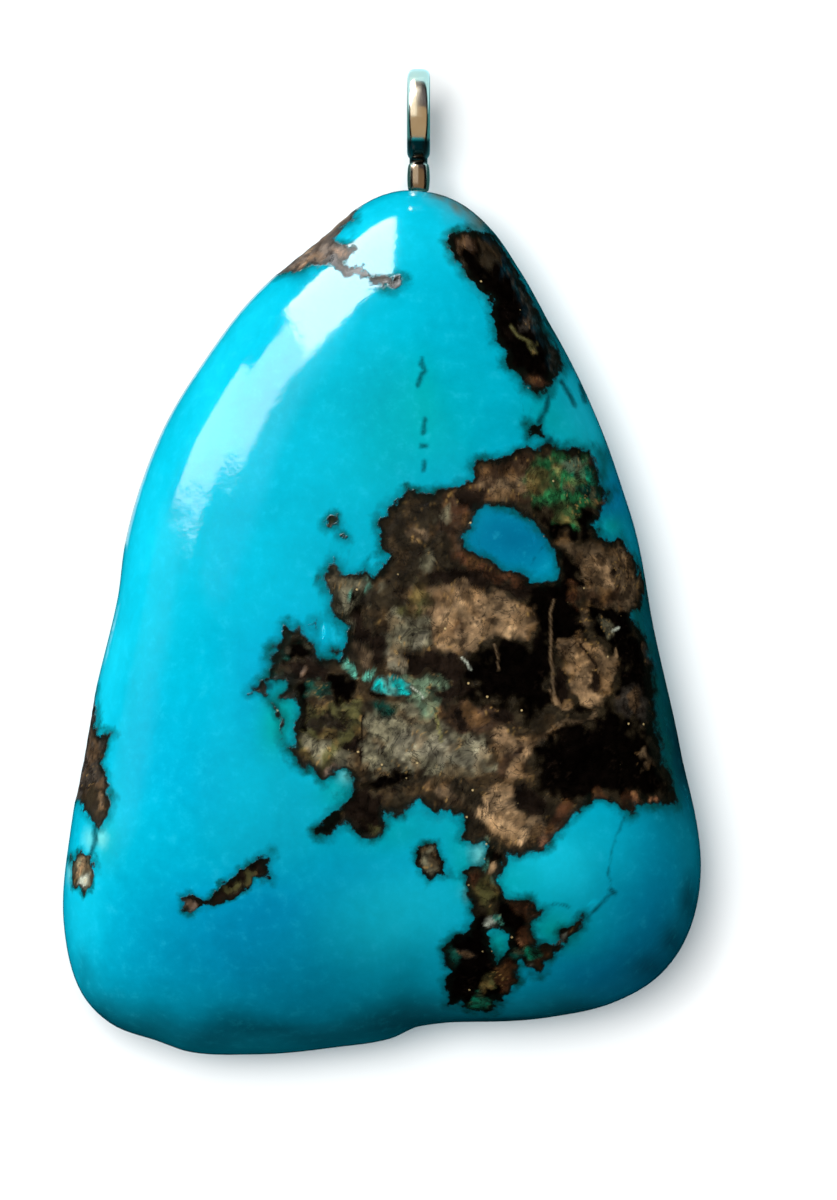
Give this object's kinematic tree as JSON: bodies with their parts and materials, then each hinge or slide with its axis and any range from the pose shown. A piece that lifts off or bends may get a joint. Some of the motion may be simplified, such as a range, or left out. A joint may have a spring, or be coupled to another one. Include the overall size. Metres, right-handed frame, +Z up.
{
  "type": "turquoise nugget pendant",
  "caption": "Polished, drilled turquoise nugget of rounded triangular outline with brown matrix patches and a small metal hanging eye, lying on its flattened back.",
  "frame": {"origin": "on the surface that the pendant lies on, under the middle of its overall box", "axes": "+Z up, out of the polished front; +Y along the pendant to the hanging eye; +X to the right of the front"},
  "size_m": [0.0265, 0.041, 0.0122],
  "materials": {
    "turquoise": "polished turquoise with brown and black host-rock matrix",
    "silver": "polished silver-coloured wire"
  },
  "bodies": {
    "root": {"turquoise_nugget": "turquoise", "hanging_eye": "silver"}
  },
  "joints": []
}
